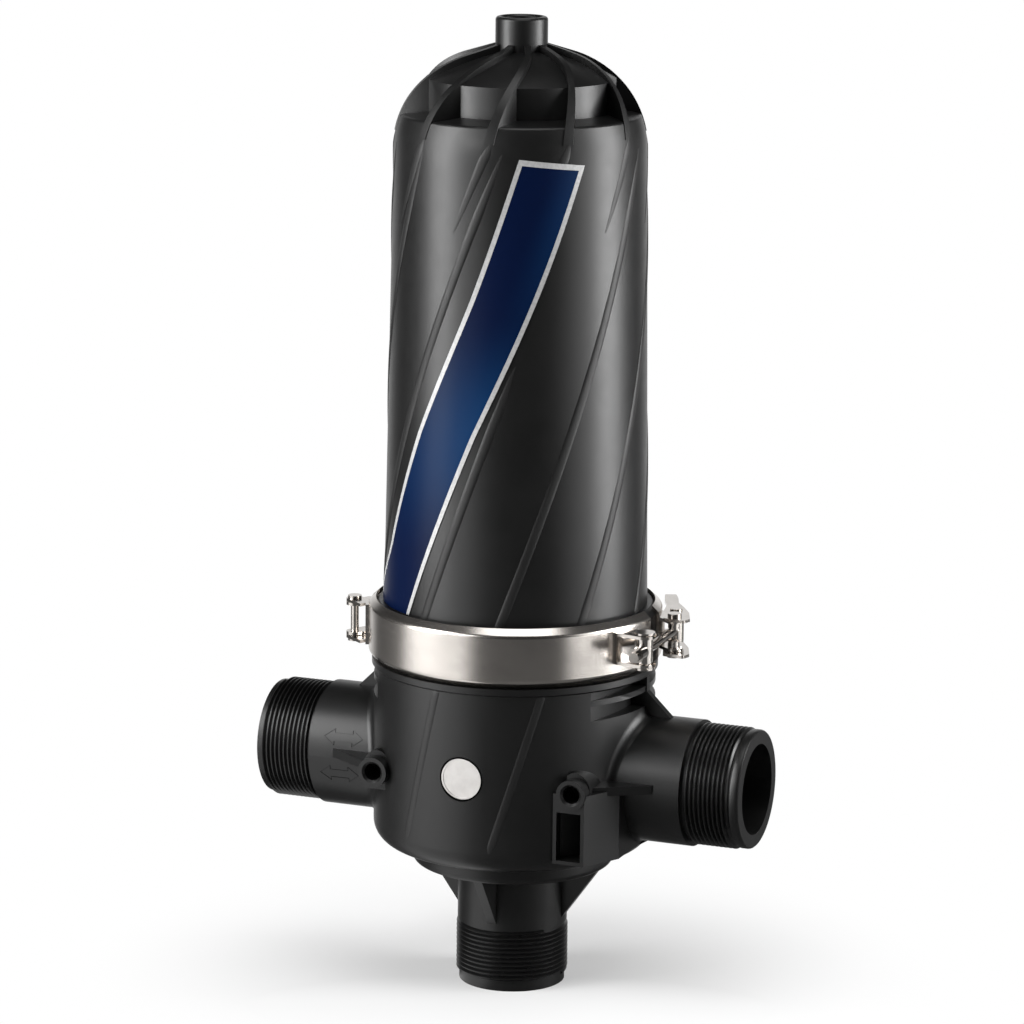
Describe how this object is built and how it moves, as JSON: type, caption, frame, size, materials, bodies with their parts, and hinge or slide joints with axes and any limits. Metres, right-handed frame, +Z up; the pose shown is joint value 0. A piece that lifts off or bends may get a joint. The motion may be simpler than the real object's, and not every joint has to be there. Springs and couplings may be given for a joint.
{
  "type": "disc irrigation filter",
  "caption": "Disc filter with threaded side ports, a bottom port, a tall finned lid held by a steel V-band clamp with an over-centre latch, and a spring-pressed disc cartridge inside.",
  "frame": {"origin": "centre of the bottom port's end face", "axes": "+Z up along the housing's axis, +X out of the right side port, -Y the front with the round marker"},
  "size_m": [0.2536, 0.1442, 0.479],
  "materials": {
    "black_plastic": "fine moulded grain, satin",
    "clamp_steel": "brushed round the band",
    "latch_steel": "tumbled bright stainless steel",
    "marker_metal": "satin",
    "seal_rubber": "matt",
    "cartridge_plastic": "moulded",
    "disc_plastic": "grooved",
    "spring_steel": "drawn wire and turned steel"
  },
  "bodies": {
    "housing": {"base_body": "black_plastic", "lid": "black_plastic", "marker_disc": "marker_metal", "lid_seal": "seal_rubber", "clamp_front_half": "clamp_steel", "clamp_rear_half": "clamp_steel", "front_hinge_bracket": "latch_steel", "rear_hinge_bracket": "latch_steel", "hinge_pin": "latch_steel", "front_latch_bracket": "latch_steel", "rear_latch_bracket": "latch_steel", "lever_studs": "latch_steel", "cartridge_base": "cartridge_plastic", "cartridge_seal": "seal_rubber", "helix_ring": "cartridge_plastic", "spine": "cartridge_plastic", "spring": "spring_steel", "spring_retainer": "spring_steel", "tie_rod": "spring_steel", "top_nut": "spring_steel"},
    "latch_lever": {"latch_lever": "latch_steel", "bolt_pin": "latch_steel"},
    "draw_bolt": {"draw_bolt": "latch_steel", "bolt_barrel": "latch_steel"},
    "adjusting_nut": {"adjusting_nut": "latch_steel"},
    "disc_stack": {"disc_stack": "disc_plastic"},
    "compression_cap": {"compression_cap": "cartridge_plastic"}
  },
  "joints": [
    {"name": "lever_swing", "type": "hinge", "parent": "housing", "child": "latch_lever", "pos_m": [0.0811, 0.00496, 0.182], "axis": [0, 0, -1], "range_deg": [0, 120]},
    {"name": "bolt_swing", "type": "hinge", "parent": "latch_lever", "child": "draw_bolt", "pos_m": [0.07779, 0.0165, 0.182], "axis": [0, 0, 1], "range_deg": [0, 120]},
    {"name": "nut_turn", "type": "hinge", "parent": "draw_bolt", "child": "adjusting_nut", "pos_m": [0.0787, -0.03021, 0.182], "axis": [0.0195, -0.9998, 0], "continuous": true},
    {"name": "cap_lift", "type": "slide", "parent": "housing", "child": "compression_cap", "axis": [0, 0, 1], "range_m": [0, 0.008], "stiffness_N_per_m": 1500, "springref_m": -0.01, "deforming": ["spring"]},
    {"name": "disc_spin", "type": "hinge", "parent": "housing", "child": "disc_stack", "pos_m": [0, 0, 0.26], "axis": [0, 0, 1], "continuous": true}
  ],
  "couplings": [
    {"joint": "bolt_swing", "follows": "lever_swing", "ratio": 1}
  ]
}
